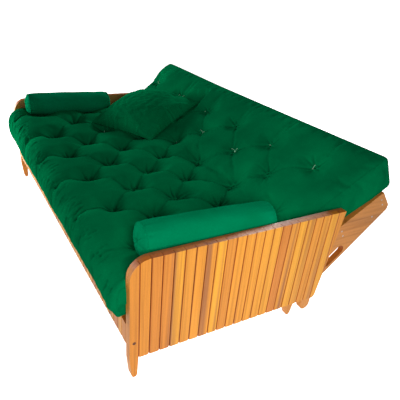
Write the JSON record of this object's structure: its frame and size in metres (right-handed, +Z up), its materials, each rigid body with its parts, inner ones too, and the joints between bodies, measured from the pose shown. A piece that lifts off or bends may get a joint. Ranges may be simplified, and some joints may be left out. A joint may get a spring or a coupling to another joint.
{
  "type": "futon sofa bed",
  "caption": "Slatted wooden sofa bed with a tufted futon, a backrest that tilts from raised to level, end bolsters and a loose cushion.",
  "frame": {"origin": "on the floor under the middle of the footprint at rest", "axes": "+X along the length of the seat, +Z up, the seat's front faces -Y"},
  "size_m": [2.02, 1.4024, 0.7069],
  "materials": {
    "slat_wood": "satin varnish",
    "frame_wood": "satin varnish",
    "plywood": "varnished plywood",
    "plug_wood": "satin varnish",
    "futon_cover": "green cotton twill",
    "steel": "zinc plated"
  },
  "bodies": {
    "base": {"apron_slats": "slat_wood", "barrel_nuts_left": "steel", "barrel_nuts_right": "steel", "bolster_left": "futon_cover", "bolster_right": "futon_cover", "end_lining_left": "plywood", "end_lining_right": "plywood", "end_slats_left": "slat_wood", "end_slats_right": "slat_wood", "front_leg_left": "slat_wood", "front_leg_right": "slat_wood", "front_rail": "frame_wood", "ledger_left": "frame_wood", "ledger_right": "frame_wood", "leg_plug_left": "plug_wood", "leg_plug_right": "plug_wood", "mid_rail": "frame_wood", "pivot_bolt_left": "steel", "pivot_bolt_right": "steel", "pivot_nut_left": "steel", "pivot_nut_right": "steel", "pivot_washers_left": "steel", "pivot_washers_right": "steel", "rail_bolts_left": "steel", "rail_bolts_right": "steel", "raked_board_left": "slat_wood", "raked_board_right": "slat_wood", "rear_foot_left": "frame_wood", "rear_foot_right": "frame_wood", "rear_leg_left": "frame_wood", "rear_leg_right": "frame_wood", "rear_rail": "frame_wood", "seat_mattress": "futon_cover", "seat_slats": "frame_wood", "stop_peg_left": "frame_wood", "stop_peg_right": "frame_wood"},
    "backrest": {"back_low_rail": "frame_wood", "back_mattress": "futon_cover", "back_mid_rail": "frame_wood", "back_screws_left": "steel", "back_screws_right": "steel", "back_side_board_left": "frame_wood", "back_side_board_right": "frame_wood", "back_slats": "frame_wood", "back_stretcher": "frame_wood", "back_top_rail": "frame_wood"},
    "cushion": {"scatter_cushion": "futon_cover"}
  },
  "joints": [
    {"name": "backrest_tilt", "type": "hinge", "parent": "base", "child": "backrest", "pos_m": [0, 0.16175, 0.225], "axis": [1, 0, 0], "range_deg": [-29.7, 34]},
    {"name": "cushion_shift", "type": "hinge", "parent": "base", "child": "cushion", "pos_m": [0, -0.12, -1.312], "axis": [1, 0, 0], "range_deg": [-6, 6.9]}
  ],
  "couplings": [
    {"joint": "cushion_shift", "follows": "backrest_tilt", "ratio": 0.2}
  ]
}
